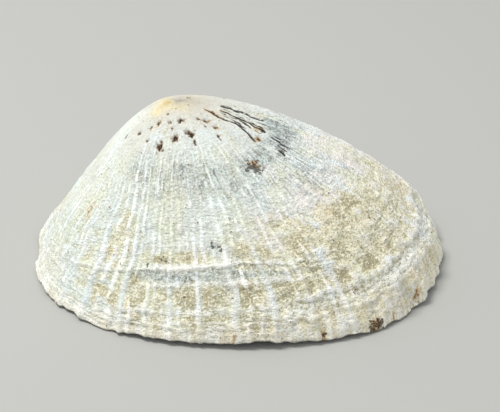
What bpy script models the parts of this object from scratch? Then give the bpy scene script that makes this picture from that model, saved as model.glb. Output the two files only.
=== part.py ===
"""A common limpet shell, worn and bleached, as one solid.

Frame: metres, +Z up. The rim stands on z = 0, +X runs to the broad hind end, -X to the narrow
head end, and the origin is under the middle of the shell.

A limpet is a cone whose top leans towards the head. It is made here from a ball whose lower half
is pushed up into the upper half, as a burst ball is: the north pole is the top of the shell, the
equator is the rim that it stands on, and the south pole is the roof of the hollow.
"""

import math

import bmesh
import bpy
from mathutils import Vector

MM = 0.001

# Size of the plain cone, under its ribs and ledges
LENGTH = 51.7 * MM
WIDTH = 43.4 * MM
HEIGHT = 21.8 * MM

# Outline of the rim, seen from above
OUTLINE_POWER = 2.23
HIND_BREADTH = 0.03

# Flanks, from the top down to the rim
TOP_X = -7.3 * MM
TOP_ROUNDING = 0.15
FLANK_POWER = 1.27
FLANK_POWER_HIND = -0.107
FLANK_POWER_SIDE = -0.067
RIM_STEEPNESS = 0.90
RIM_STEEPNESS_HIND = -0.204

# Rim: the edge of the shell in section, as inset from the outline and height above its foot
EDGE_HEIGHT = 1.0 * MM
EDGE_SECTION = (
    (0.12 * MM, 0.45 * MM),
    (0.45 * MM, 0.0),
    (1.15 * MM, 0.0),
    (1.60 * MM, 0.40 * MM),
)

# Stretches where the edge is off the table, as angle, half width and height
RIM_LIFTS = (
    (15.0, 9.0, 0.50 * MM),
    (62.0, 14.0, 0.60 * MM),
    (100.0, 8.0, 0.40 * MM),
    (130.0, 8.0, 0.50 * MM),
    (165.0, 11.0, 0.55 * MM),
    (203.0, 7.0, 0.40 * MM),
    (256.0, 11.0, 0.55 * MM),
    (275.0, 6.0, 0.90 * MM),
    (334.0, 7.0, 0.80 * MM),
    (349.0, 4.0, 0.60 * MM),
)
WORN_FLAT = 0.12 * MM

# Stretches where the edge is chipped back, as angle, half width and depth
RIM_CHIPS = (
    (48.0, 5.0, 0.45 * MM),
    (112.0, 4.0, 0.35 * MM),
    (182.0, 5.0, 0.30 * MM),
    (335.0, 5.0, 0.45 * MM),
)

# Radial ribs. The angles of the twelve that stand out at the front are given, and the rest are
# spread over what is left of the turn.
FRONT_RIBS = (213.0, 222.5, 235.5, 245.0, 254.0, 262.5, 270.3, 279.0, 290.0, 301.5, 311.0, 320.5)
OTHER_RIBS = 28
RIB_WANDER = 0.15
RIB_HEIGHT = 0.24 * MM
RIB_HEIGHT_HIND = -0.03 * MM
RIB_START = 0.30
RIB_FULL = 0.75
STEPS_PER_RIB = 4

# Growth ledges, as growth line and height of the step. A growth line is 0 at the top and 1 at the
# rim, and says how old the shell was when that edge was its rim.
GROWTH_LEDGES = (
    (0.775, 0.36 * MM),
    (0.905, 0.45 * MM),
    (0.960, 0.26 * MM),
)
LEDGE_RUN = 0.045
HEAD_CROWDING = 0.5
HEAD_LEDGES = 0.35

# Broad swellings and hollows of the flanks, as angle, growth line, half sizes and height
SWELLINGS = (
    (345.0, 0.62, 26.0, 0.16, 0.30 * MM),
    (318.0, 0.34, 16.0, 0.08, -0.25 * MM),
    (200.0, 0.50, 18.0, 0.14, 0.25 * MM),
    (90.0, 0.55, 30.0, 0.20, 0.25 * MM),
    (140.0, 0.70, 22.0, 0.15, -0.20 * MM),
    (40.0, 0.75, 20.0, 0.14, 0.20 * MM),
)

# Patch beside the top where the shell has worn into grooves between the ribs, given as a swelling
GROOVED_PATCH = (342.0, 0.235, 20.0, 0.075, 0.30 * MM)

# Bored and worn pits round the top, as angle, growth line and half width
PITS = (
    (192.0, 0.24, 0.40 * MM),
    (208.0, 0.21, 0.40 * MM),
    (219.0, 0.18, 0.35 * MM),
    (226.0, 0.18, 0.35 * MM),
    (232.0, 0.12, 0.35 * MM),
    (239.0, 0.27, 0.60 * MM),
    (243.0, 0.18, 0.35 * MM),
    (253.0, 0.24, 0.40 * MM),
    (260.0, 0.15, 0.45 * MM),
    (268.5, 0.24, 0.50 * MM),
    (286.0, 0.15, 0.35 * MM),
    (297.0, 0.18, 0.40 * MM),
    (300.0, 0.21, 0.35 * MM),
    (304.0, 0.41, 0.55 * MM),
    (12.0, 0.21, 0.40 * MM),
    (38.0, 0.30, 0.45 * MM),
    (64.0, 0.18, 0.40 * MM),
    (88.0, 0.27, 0.50 * MM),
    (117.0, 0.21, 0.40 * MM),
    (151.0, 0.27, 0.40 * MM),
)
PIT_DEPTH = 0.8
PIT_LENGTH = 1.15

# Hollow
ROOF_THICKNESS = 3.0 * MM
LIP_INSET = 1.9 * MM
LIP_HEIGHT = 0.9 * MM

# Rings of the ball that become the outside, as growth lines, and the inside, as share of the way
# from its roof to its edge
OUTSIDE_RINGS = (
    0.06, 0.12, 0.15, 0.18, 0.21, 0.24, 0.27, 0.30, 0.33, 0.37, 0.41, 0.50, 0.60, 0.69,
    0.765, 0.785, 0.84, 0.895, 0.915, 0.950, 0.972, 1.0,
)
INSIDE_RINGS = (0.84, 0.64, 0.42, 0.20)

SHELL_COLOUR = (0.72, 0.71, 0.64, 1.0)
SHELL_ROUGHNESS = 0.75


def smooth_step(low, high, value):
    """0 below low, 1 above high, and a smooth rise between."""
    share = min(max((value - low) / (high - low), 0.0), 1.0)
    return share * share * (3.0 - 2.0 * share)


def angle_between(a, b):
    """Signed difference of two angles in degrees, from -180 to 180."""
    return (a - b + 180.0) % 360.0 - 180.0


def bumps(angle, table):
    """Sum of round bumps along the rim, each given as angle, half width and height."""
    return sum(
        height * math.exp(-((angle_between(angle, centre) / half_width) ** 2))
        for centre, half_width, height in table
    )


def rib_angles():
    """Angles of all the ribs, rising, from the first front rib through a full turn."""
    first, last = FRONT_RIBS[0], FRONT_RIBS[-1]
    step = (first + 360.0 - last) / (OTHER_RIBS + 1)
    rest = [
        last + step * (number + RIB_WANDER * math.sin(2.4 * number))
        for number in range(1, OTHER_RIBS + 1)
    ]
    return [*FRONT_RIBS, *rest, first + 360.0]


def outline(angle):
    """The rim seen from above: an oval squarer than an ellipse, and broader behind."""
    turn = math.radians(angle)
    cosine, sine = math.cos(turn), math.sin(turn)
    power = 2.0 / OUTLINE_POWER
    x = LENGTH / 2 * math.copysign(abs(cosine) ** power, cosine)
    y = WIDTH / 2 * math.copysign(abs(sine) ** power, sine) * (1.0 + HIND_BREADTH * cosine)
    return Vector((x, y, 0.0))


def outline_inward(angle):
    """Unit vector across the rim, towards the inside, seen from above."""
    along = outline(angle + 0.5) - outline(angle - 0.5)
    return Vector((-along.y, along.x, 0.0)).normalized()


def rim_lift(angle):
    """Height of the rim's foot above the table. Low places are worn flat and touch it."""
    return max(bumps(angle, RIM_LIFTS) - WORN_FLAT, 0.0)


def flank(angle, share, bottom, top):
    """Height of a flank at a share of the way from the top to the rim: one minus a power of the
    share, to another power, with the share rounded off near the top."""
    turn = math.radians(angle)
    cosine, sine = math.cos(turn), math.sin(turn)
    power = FLANK_POWER + FLANK_POWER_HIND * cosine + FLANK_POWER_SIDE * sine * sine
    steepness = RIM_STEEPNESS + RIM_STEEPNESS_HIND * cosine
    rounded = math.hypot(share, TOP_ROUNDING) - TOP_ROUNDING
    rounded /= math.hypot(1.0, TOP_ROUNDING) - TOP_ROUNDING
    return bottom + (top - bottom) * max(1.0 - rounded**power, 0.0) ** steepness


def crowded(angle, share):
    """A growth line's share of the way: the lines lie closer to the rim at the head end."""
    towards_head = max(-math.cos(math.radians(angle)), 0.0)
    crowding = HEAD_CROWDING * towards_head**2 * smooth_step(0.0, 0.6, share)
    return share + (1.0 - share) * crowding


def swell(angle, line, centre, middle, half_angle, half_share, height):
    """A round rise of the flank, or with a negative height a dip."""
    reach = (angle_between(angle, centre) / half_angle) ** 2
    reach += ((line - middle) / half_share) ** 2
    return height * math.exp(-reach)


def pit(angle, line, centre, middle, half_width):
    """A small dip, which keeps its width and length however close to the top it is."""
    spoke = (outline(centre) - Vector((TOP_X, 0.0, 0.0))).length
    half_angle = math.degrees(half_width / (middle * spoke))
    half_share = PIT_LENGTH * half_width / spoke
    return swell(angle, line, centre, middle, half_angle, half_share, -PIT_DEPTH * half_width)


def relief(angle, rib_phase, line):
    """Height of ribs, ledges, swellings and pits over the plain flank, at a growth line."""
    cosine = math.cos(math.radians(angle))
    crest = math.cos(math.pi * rib_phase) ** 2
    rib_height = RIB_HEIGHT + RIB_HEIGHT_HIND * cosine
    height = rib_height * crest * smooth_step(RIB_START, RIB_FULL, line)
    height += swell(angle, line, *GROOVED_PATCH) * (crest - 0.5)
    ledge_share = 1.0 - (1.0 - HEAD_LEDGES) * max(-cosine, 0.0) ** 2
    for ledge, step in GROWTH_LEDGES:
        if line <= ledge:
            height += ledge_share * step * math.exp((line - ledge) / LEDGE_RUN)
    height += sum(swell(angle, line, *swelling) for swelling in SWELLINGS)
    height += sum(pit(angle, line, *place) for place in PITS)
    return height


def plain_outside(angle, share):
    """A point of the outside without its relief."""
    top = Vector((TOP_X, 0.0, 0.0))
    point = top.lerp(outline(angle), share)
    point.z = flank(angle, share, EDGE_HEIGHT, HEIGHT) + rim_lift(angle) * share**6
    return point


def outside(angle, rib_phase, line):
    """A point of the outside, with its relief raised along the surface's normal."""
    share = crowded(angle, line)
    inner = min(share, 0.985)
    around = plain_outside(angle + 0.5, inner) - plain_outside(angle - 0.5, inner)
    downhill = plain_outside(angle, inner + 0.01) - plain_outside(angle, inner - 0.01)
    normal = downhill.cross(around).normalized()
    chip = outline_inward(angle) * bumps(angle, RIM_CHIPS) * share**6
    return plain_outside(angle, share) + normal * relief(angle, rib_phase, line) + chip


def rim_edge(angle, rib_phase, inset, height):
    """A point of the edge that the shell stands on."""
    edge = outside(angle, rib_phase, 1.0) + outline_inward(angle) * inset
    edge.z = rim_lift(angle) + height
    return edge


def inside(angle, share):
    """A point of the hollow, which is smooth."""
    roof = Vector((TOP_X, 0.0, 0.0))
    point = roof.lerp(outline(angle) + outline_inward(angle) * LIP_INSET, share)
    point.z = flank(angle, share, LIP_HEIGHT, HEIGHT - ROOF_THICKNESS)
    point.z += rim_lift(angle) * share**6
    return point


def shell_point(angle, rib_phase, ring):
    """Where a vertex of the ball goes, by the ring that it is on, counted from the north pole."""
    if ring == 0:
        return Vector((TOP_X, 0.0, HEIGHT))
    ring -= 1
    if ring < len(OUTSIDE_RINGS):
        return outside(angle, rib_phase, OUTSIDE_RINGS[ring])
    ring -= len(OUTSIDE_RINGS)
    if ring < len(EDGE_SECTION):
        return rim_edge(angle, rib_phase, *EDGE_SECTION[ring])
    ring -= len(EDGE_SECTION)
    if ring < len(INSIDE_RINGS):
        return inside(angle, INSIDE_RINGS[ring])
    return Vector((TOP_X, 0.0, HEIGHT - ROOF_THICKNESS))


def make_shell_mesh():
    """A ball with four segments to each rib, and each of its vertices moved to the shell."""
    ribs = rib_angles()
    segments = STEPS_PER_RIB * (len(ribs) - 1)
    rings = 1 + len(OUTSIDE_RINGS) + len(EDGE_SECTION) + len(INSIDE_RINGS)
    ball = bmesh.new()
    bmesh.ops.create_uvsphere(ball, u_segments=segments, v_segments=rings, radius=1.0)
    for vert in ball.verts:
        ring = round(math.acos(max(-1.0, min(1.0, vert.co.z))) / math.pi * rings)
        segment = round(math.atan2(vert.co.y, vert.co.x) / (2 * math.pi) * segments) % segments
        rib, step = divmod(segment, STEPS_PER_RIB)
        phase = step / STEPS_PER_RIB
        angle = ribs[rib] + (ribs[rib + 1] - ribs[rib]) * phase
        vert.co = shell_point(angle, phase, ring)
    mesh = bpy.data.meshes.new("limpet_shell")
    ball.to_mesh(mesh)
    ball.free()
    return mesh


def make_shell_material():
    """Bleached chalky shell."""
    material = bpy.data.materials.new("worn_shell")
    material.use_nodes = True
    surface = material.node_tree.nodes["Principled BSDF"]
    surface.inputs["Base Color"].default_value = SHELL_COLOUR
    surface.inputs["Roughness"].default_value = SHELL_ROUGHNESS
    surface.inputs["Metallic"].default_value = 0.0
    return material


def main():
    for old in list(bpy.data.objects):
        bpy.data.objects.remove(old)
    collection = bpy.data.collections.new("limpet shell")
    bpy.context.scene.collection.children.link(collection)
    shell = bpy.data.objects.new("limpet_shell", make_shell_mesh())
    shell.data.materials.append(make_shell_material())
    shell.data.shade_smooth()
    shell.data.set_sharp_from_angle(angle=math.radians(40.0))
    collection.objects.link(shell)


main()
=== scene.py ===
# %% [markdown]
# # A worn limpet shell
#
# A limpet clings to a tidal rock under one low cone of shell. It adds a little shell at the rim
# all its life, so every old rim is left as a growth line, and every bump of the rim is drawn out
# into a rib. After the limpet's death the sea scours the cone: the top is polished, small borers
# leave pits in it, and stains stay in the valleys.
#
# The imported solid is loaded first. Everything below is made round it, in the same frame.

# %% Load the solid
import math

import bpy
import numpy as np
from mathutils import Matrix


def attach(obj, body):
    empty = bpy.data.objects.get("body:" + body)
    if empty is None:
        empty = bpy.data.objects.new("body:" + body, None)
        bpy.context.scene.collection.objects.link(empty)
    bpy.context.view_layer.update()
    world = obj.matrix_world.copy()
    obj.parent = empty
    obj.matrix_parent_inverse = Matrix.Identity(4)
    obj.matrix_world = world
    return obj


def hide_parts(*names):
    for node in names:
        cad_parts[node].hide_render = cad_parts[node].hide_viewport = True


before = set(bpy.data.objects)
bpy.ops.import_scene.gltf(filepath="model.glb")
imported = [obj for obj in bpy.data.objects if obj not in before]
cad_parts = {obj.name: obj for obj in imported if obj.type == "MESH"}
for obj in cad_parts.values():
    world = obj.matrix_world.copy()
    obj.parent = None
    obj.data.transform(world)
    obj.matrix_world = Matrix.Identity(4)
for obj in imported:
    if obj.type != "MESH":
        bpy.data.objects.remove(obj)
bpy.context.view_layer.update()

# %% [markdown]
# ## Two coordinates for a cone
#
# A place on a limpet is best named by two numbers. The **angle** goes round the rim: 0 degrees is
# the broad hind end, 180 the narrow head end, and 270 the side that faces the camera. The
# **share** is how far it is from the top to the rim, 0 to 1. A third number, the growth **line**,
# is like the share, but says how old the shell was there: at the head end growth is slow, so the
# lines lie closer to the rim. Sizes are in millimetres up to the last moment.

# %% Sizes of the plain cone
LENGTH, WIDTH, HEIGHT = 51.7, 43.4, 21.8
TOP_X = -7.3
OUTLINE_POWER, HIND_BREADTH = 2.23, 0.03
TOP_ROUNDING = 0.15
EDGE_HEIGHT = 1.0
ROOF_THICKNESS, LIP_INSET, LIP_HEIGHT = 3.0, 1.9, 0.9
HEAD_CROWDING, HEAD_LEDGES = 0.5, 0.20
FLANK_POWER, FLANK_POWER_HIND, FLANK_POWER_SIDE = 1.27, -0.107, -0.067
RIM_STEEPNESS, RIM_STEEPNESS_HIND = 0.90, -0.204
# Lifts and chips of the rim: angle, half width in degrees, height or depth in mm.
RIM_LIFTS = (
    (15, 9, 0.50), (62, 14, 0.60), (100, 8, 0.40), (130, 8, 0.50), (165, 11, 0.55),
    (203, 7, 0.40), (256, 11, 0.55), (275, 6, 0.90), (334, 7, 0.80), (349, 4, 0.60),
)
SMALL_LIFTS = (
    (221, 9, 0.38), (243, 7, 0.38), (266, 6, 0.34), (286, 7, 0.55), (299, 6, 0.50), (313, 4, 0.35),
)
RIM_CHIPS = (
    (48, 5, 0.45), (112, 4, 0.35), (182, 5, 0.30), (335, 4, 0.45), (344, 2.0, 0.35), (352, 2.2, 0.40),
    (326, 2.0, 0.30), (4, 2.5, 0.35),
)
WORN_FLAT = 0.12

# %% [markdown]
# ## Soft steps and bells
#
# Nearly every form here comes from two curves: a step that starts and ends softly, and a bell that
# falls off on both sides. Both take whole arrays, so one call works on every vertex at once.

# %% Soft steps and bells
def smooth(low, high, value):
    """0 below low, 1 above high, and 3 s s - 2 s s s between, where s is the share of the way."""
    share = np.clip((value - low) / (high - low), 0, 1)
    return share * share * (3 - 2 * share)


def turned(angle, centre):
    """Signed difference of two angles in degrees, from -180 to 180."""
    return (angle - centre + 180) % 360 - 180


def bell(angle, centre, width, power=2):
    """1 in one direction, and beside it e to minus (difference over width) to a power."""
    return np.exp(-((turned(angle, centre) / width) ** power))


def bumps(angle, table):
    """Sum of bell curves round the rim, each with its own direction, width and height."""
    return sum(height * bell(angle, at, width) for at, width, height in table)


# %% [markdown]
# ## The plain cone
#
# Seen from above, the rim is an oval a little squarer than an ellipse. A turned profile would give
# a round cone with its top in the middle, but a limpet's top leans towards its head, and its
# flanks bulge. So straight spokes run from the top to the oval, and a formula lifts them.

# %% The plain cone
def outline(angle):
    """The rim seen from above. Each of x and y is a half size times the cosine or the sine to the
    power of 2 over 2.23, with its sign kept, which is an oval a little squarer than an ellipse."""
    cosine, sine = np.cos(np.radians(angle)), np.sin(np.radians(angle))
    power = 2 / OUTLINE_POWER
    x = LENGTH / 2 * np.sign(cosine) * np.abs(cosine) ** power
    y = WIDTH / 2 * np.sign(sine) * np.abs(sine) ** power * (1 + HIND_BREADTH * cosine)
    return x, y


def inward(angle):
    """Unit vector across the rim: the step along the rim, turned a quarter to the left."""
    ahead, behind = outline(angle + 0.5), outline(angle - 0.5)
    along_x, along_y = ahead[0] - behind[0], ahead[1] - behind[1]
    length = np.hypot(along_x, along_y)
    return -along_y / length, along_x / length


def rim_lift(angle):
    """How far the rim's foot is off the floor. Low places are worn flat and touch it."""
    return np.maximum(bumps(angle, RIM_LIFTS) + bumps(angle, SMALL_LIFTS) - WORN_FLAT, 0)


def flank(angle, share, bottom, top):
    """Height of a flank: bottom plus the rise times (1 - s to the power p) to the power q, where s
    is the share rounded off near the top, and p and q change a little round the shell."""
    cosine, sine = np.cos(np.radians(angle)), np.sin(np.radians(angle))
    power = FLANK_POWER + FLANK_POWER_HIND * cosine + FLANK_POWER_SIDE * sine * sine
    steepness = RIM_STEEPNESS + RIM_STEEPNESS_HIND * cosine
    rounded = np.hypot(share, TOP_ROUNDING) - TOP_ROUNDING
    rounded = rounded / (math.hypot(1, TOP_ROUNDING) - TOP_ROUNDING)
    return bottom + (top - bottom) * np.maximum(1 - rounded**power, 0) ** steepness


def crowded(angle, line):
    """The share at which a growth line lies: the line, plus part of what is left, at the head."""
    towards_head = np.maximum(-np.cos(np.radians(angle)), 0)
    return line + (1 - line) * HEAD_CROWDING * towards_head**2 * smooth(0, 0.6, line)


def plain_outside(angle, share):
    """Points of the outside without relief: straight spokes from the top seen from above."""
    rim_x, rim_y = outline(angle)
    x = TOP_X + (rim_x - TOP_X) * share
    y = rim_y * share
    z = flank(angle, share, EDGE_HEIGHT, HEIGHT) + rim_lift(angle) * share**6
    return np.stack(np.broadcast_arrays(x, y, z), axis=-1)


def outward(angle, share):
    """Unit normals of the plain outside: the cross product of a step downhill and one round it."""
    inner = np.clip(share, 0.012, 0.985)
    around = plain_outside(angle + 0.5, inner) - plain_outside(angle - 0.5, inner)
    downhill = plain_outside(angle, inner + 0.01) - plain_outside(angle, inner - 0.01)
    normal = np.cross(downhill, around)
    return normal / np.linalg.norm(normal, axis=-1, keepdims=True)


# %% [markdown]
# ## The grid
#
# The whole shell is one closed sheet: it starts at the top, runs down the outside, turns under at
# the rim, and runs up the inside to the roof of the hollow. So one grid carries it, with a column
# for each direction and a row for each ring. The columns lie a little closer on the side that
# faces the camera.

# %% Columns and rows
COLUMNS, OUTSIDE_ROWS, EDGE_ROWS, INSIDE_ROWS = 520, 150, 14, 26
CLOSER_COLUMNS = 14.0

turn = np.arange(COLUMNS) / COLUMNS
angle = (360 * turn - CLOSER_COLUMNS * np.cos(2 * np.pi * turn))[None, :]
line = np.linspace(0, 1, OUTSIDE_ROWS + 1)[1:, None]
share = crowded(angle, line)
print("grid", COLUMNS, "by", OUTSIDE_ROWS + EDGE_ROWS + INSIDE_ROWS)


def grain(angle, line, around, along, seed):
    """A smooth random field from -1 to 1: random numbers at the crossings of a net that has so
    many spokes and rings, blended from crossing to crossing with the smooth step."""
    net = np.random.default_rng(seed).uniform(-1, 1, (along + 2, around))
    u, v = (angle / 360 % 1) * around, np.clip(line, 0, 1) * along
    u, v = np.broadcast_arrays(u, v)
    column, row = np.floor(u).astype(int), np.floor(v).astype(int)
    across, down = smooth(0, 1, u - column), smooth(0, 1, v - row)
    left, right = column % around, (column + 1) % around
    upper = net[row, left] * (1 - across) + net[row, right] * across
    lower = net[row + 1, left] * (1 - across) + net[row + 1, right] * across
    return upper * (1 - down) + lower * down


def patches(angle, at, table, power=2):
    """Soft patches added up: strength times e to minus (distance over half size) to a power, with
    the distance told in angle and in share or line. Power 2 is round, and 4 nearly square."""
    total = 0
    for centre, middle, half_angle, half_way, strength in table:
        reach = (turned(angle, centre) / half_angle) ** power + ((at - middle) / half_way) ** power
        total = total + strength * np.exp(-reach)
    return total


# %% [markdown]
# ## Ribs
#
# Ribs run from the top to the rim. Twelve of them, on the side that faces the camera, lie where
# the real ones do, and the rest are spread over what is left of the turn. An angle is turned into
# a *phase*, which grows by one from each rib to the next, so a squared cosine of the phase draws
# every rib at once. Three riblets go with each rib, one on its back and two in the space beside
# it. The ribs bend on their way down, those near 222 degrees most: the angle is shifted before
# its phase is looked up.

# %% Ribs and riblets
FRONT_RIBS = (214.5, 224.5, 239.3, 247.0, 254.0, 262.5, 270.3, 279.5, 290.0, 300.5, 311.0, 320.5)
FRONT_STRENGTHS = (0.95, 0.95, 1.15, 0.40, 0.45, 0.60, 1.00, 1.05, 0.45, 1.00, 0.45, 0.60)
OTHER_RIBS, RIB_WANDER = 28, 0.15
BEND, BEND_AT, BEND_WIDTH = 9, 222, 20
RIB_HEIGHT, RIB_HEIGHT_HIND = 0.24, -0.03
RIBLETS_PER_RIB, RIBLET_HEIGHT = 3, 0.18

gap = (FRONT_RIBS[0] + 360 - FRONT_RIBS[-1]) / (OTHER_RIBS + 1)
number = np.arange(1, OTHER_RIBS + 1)
rib_angles = np.concatenate([
    FRONT_RIBS,
    FRONT_RIBS[-1] + gap * (number + RIB_WANDER * np.sin(2.4 * number)),
    [FRONT_RIBS[0] + 360],
])
rib_count = len(rib_angles) - 1

bend = BEND * bell(angle, BEND_AT, BEND_WIDTH) * (1 - smooth(0.35, 0.62, share))
bend = bend + 1.3 * grain(angle, line, 17, 7, 1) + 0.5 * grain(angle, line, 60, 16, 2)
bent = angle + bend * smooth(0.02, 0.2, line)
first_rib = rib_angles[0]
phase = np.interp((bent - first_rib) % 360 + first_rib, rib_angles, np.arange(rib_count + 1))
crest = np.cos(np.pi * phase) ** 2
nearest_rib = np.round(phase).astype(int) % rib_count
riblet = np.cos(np.pi * RIBLETS_PER_RIB * phase) ** 2
nearest_riblet = np.round(RIBLETS_PER_RIB * phase).astype(int) % (RIBLETS_PER_RIB * rib_count)

each_rib = np.random.default_rng(3).uniform(0.45, 1.15, rib_count)
each_rib[: len(FRONT_STRENGTHS)] = FRONT_STRENGTHS
each_riblet = np.random.default_rng(22).uniform(0.25, 1.2, RIBLETS_PER_RIB * rib_count)
cosine = np.cos(np.radians(angle))
hind = smooth(-78, -50, turned(angle, 0)) * (1 - smooth(50, 75, turned(angle, 0)))
head = bell(angle, 180, 34)
ribbed = smooth(0.30, 0.75, line) * (1 - 0.6 * hind) * (1 - 0.8 * head)
rib_strength = each_rib[nearest_rib] * ribbed
ribs = (RIB_HEIGHT + RIB_HEIGHT_HIND * cosine) * rib_strength * (0.30 * crest + 0.70 * crest**12)
unbroken = smooth(-0.7, 0.4, grain(angle, line, 130, 26, 4))
riblet_strength = each_riblet[nearest_riblet] * unbroken * (1 - 0.45 * hind)
riblets = RIBLET_HEIGHT * riblet**1.5 * riblet_strength * smooth(0.16, 0.38, line)
riblets = riblets * (1 - 0.7 * head)
print(rib_count, "ribs, up to", round(float(ribs.max()), 2), "mm high")

# %% [markdown]
# ## Growth lines
#
# Each old rim is a small ledge: the surface climbs slowly towards it, then drops. Four ledges are
# strong, where growth stopped for a winter or a storm, and about forty are faint. One formula
# makes them all: a rise that falls off upwards as e to the power of the distance over its run, cut
# off sharply below. A thin bead, the thickened lip of that old rim, sits right on the line, and
# where it crosses a riblet the two add up to a nodule. No line runs straight: the growth line is
# shifted by small waves before the formula reads it.

# %% Ledges and faint lines
# Each strong ledge: growth line, height in mm.
STRONG_LEDGES = ((0.775, 0.13), (0.838, 0.09), (0.905, 0.24), (0.960, 0.16))
LEDGE_RUN, FAINT_RUN, LEDGE_DROP = 0.030, 0.012, 0.006
LIP_WIDTH, STRONG_LIP_HEIGHT, FAINT_LIP_HEIGHT = 0.0056, 0.10, 0.13
FAINT_FIRST, FAINT_LAST, MOST_FAINT, FAINT_HEIGHT = 0.34, 0.995, 44, 0.10

calm = 1 - 0.65 * hind
wavy = line + 0.0060 * calm * grain(angle, line, 46, 9, 5)
wavy = wavy + 0.0050 * calm * grain(angle, line, 150, 30, 6)
wavy = wavy + 0.0035 * grain(angle, line, 330, 70, 27)
wavy = wavy - 0.007 * (crest - 0.5) * smooth(0.5, 0.9, line) * calm
wavy = wavy + 0.013 * bell(angle, 330, 38) * smooth(0.8, 0.9, line)
wavy = wavy + 0.020 * bell(angle, 272, 7) * np.exp(-(((line - 0.76) / 0.05) ** 2))
wavy = wavy - 0.026 * bell(angle, 250, 32, 4) * smooth(0.84, 0.92, line) * (2 - line)


def ledge(at, step, run):
    """One ledge: step times e to (line - at) over run above the line, and a quick drop below."""
    rise = step * np.exp(np.minimum(wavy - at, 0) / run)
    return rise * (1 - smooth(at, at + LEDGE_DROP, wavy))


def lip(at, width):
    """A thin bead: e to minus (distance to the line over its half width) squared."""
    return np.exp(-(((wavy - at) / width) ** 2))


ledge_share = 1 - (1 - HEAD_LEDGES) * np.maximum(-cosine, 0) ** 2
torn = 0.75 + 0.40 * grain(angle, line, 40, 24, 7)
# At the hind end the upper two strong ledges fade, and the third grows.
ledge_shares = (1 - 0.75 * hind, 0.85 - 0.7 * hind, 0.8 + 0.6 * hind, 0.9)
ledges = sum(
    step * part * ledge(at, 1, LEDGE_RUN) for (at, step), part in zip(STRONG_LEDGES, ledge_shares)
)
ledges = ledges * ledge_share * (torn + 0.6 * hind * (1 - torn))

faint_rng = np.random.default_rng(8)
faint_at = FAINT_FIRST + np.cumsum(faint_rng.uniform(0.010, 0.026, MOST_FAINT))
faint_at = faint_at[faint_at < FAINT_LAST]
faint_weight = faint_rng.uniform(0.25, 1.0, len(faint_at)) * (0.35 + 1.0 * faint_at**4)
patchy = 0.62 + 0.25 * smooth(0.7, 0.85, line) + 0.7 * grain(angle, line, 64, 40, 9)
patchy = np.clip(patchy, 0, 1.2) * ledge_share + 0.25 * hind
beaded = 0.55 + 0.75 * riblet * unbroken * (1 - 0.6 * hind)
faint = sum(ledge(at, FAINT_HEIGHT * w, FAINT_RUN) for at, w in zip(faint_at, faint_weight)) * patchy
strong_lips = sum(
    part * lip(at, LIP_WIDTH) for (at, step), part in zip(STRONG_LEDGES, ledge_shares)
)
strong_lips = strong_lips * (0.5 + 0.5 * torn) * (0.5 + 0.5 * ledge_share) * (1 - 0.45 * hind)
faint_lips = sum(w * lip(at, LIP_WIDTH) for at, w in zip(faint_at, faint_weight)) * patchy
faint_lips = faint_lips * (1 - 0.2 * hind)
lips = (STRONG_LIP_HEIGHT * strong_lips + FAINT_LIP_HEIGHT * faint_lips) * beaded
print(len(STRONG_LEDGES), "strong and", len(faint_at), "faint growth lines")

# %% [markdown]
# ## Pits
#
# Small borers leave pits round the top. A pit could be cut with a Boolean, but its edge would be
# clean. Here it is a bell-shaped dip with a ragged edge: its distance is disturbed by random
# fields before the bell curve is taken.

# %% Pits
# Each pit: angle, share, half width and half length in mm.
PITS = (
    (192, 0.365, 0.20, 0.31), (208, 0.300, 0.24, 0.26), (219, 0.245, 0.16, 0.33),
    (224, 0.312, 0.20, 0.21), (226, 0.215, 0.16, 0.33), (232, 0.140, 0.17, 0.18),
    (239, 0.325, 0.31, 0.52), (243, 0.185, 0.23, 0.16), (248, 0.220, 0.20, 0.18),
    (253, 0.262, 0.25, 0.36), (260, 0.165, 0.33, 0.26), (268.5, 0.235, 0.39, 0.39),
    (270, 0.278, 0.11, 0.29), (286, 0.155, 0.23, 0.17), (297, 0.172, 0.33, 0.23),
    (288, 0.200, 0.14, 0.14), (300, 0.215, 0.28, 0.16), (294, 0.262, 0.17, 0.37),
    (301, 0.392, 0.23, 0.21), (306, 0.398, 0.20, 0.25), (303.5, 0.418, 0.33, 0.18),
    (308, 0.430, 0.22, 0.29), (331, 0.325, 0.30, 0.22), (329, 0.333, 0.36, 0.22),
    (341, 0.322, 0.30, 0.20), (12, 0.210, 0.28, 0.25), (38, 0.300, 0.31, 0.31),
    (64, 0.180, 0.25, 0.25), (88, 0.270, 0.33, 0.33), (117, 0.210, 0.28, 0.29),
    (151, 0.270, 0.28, 0.25), (100, 0.340, 0.20, 0.25), (133, 0.160, 0.17, 0.21),
    (72, 0.360, 0.22, 0.31), (22, 0.350, 0.20, 0.26),
)
PIT_DEPTH, PIT_WARP = 1.1, 0.80

rim_x, rim_y = outline(angle)
spoke = np.hypot(rim_x - TOP_X, rim_y)
ragged = 1 + 0.55 * grain(angle, share, 120, 70, 10) + 0.35 * grain(angle, share, 240, 120, 11)
warp_across = PIT_WARP * grain(angle, share, 250, 120, 25)
warp_down = PIT_WARP * grain(angle, share, 250, 120, 26)
pits = np.zeros_like(share)
pit_mask = np.zeros_like(share)
for at_angle, at_share, half_width, half_length in PITS:
    across = np.radians(turned(angle, at_angle)) * share * spoke / half_width + warp_across
    down = (share - at_share) * spoke / half_length + warp_down
    reach = (across**2 + down**2) * ragged
    pits = pits - PIT_DEPTH * half_width * np.exp(-(reach**1.3))
    pit_mask = np.maximum(pit_mask, np.exp(-reach))
print(len(PITS), "pits, deepest", round(float(-pits.min()), 2), "mm")
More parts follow.
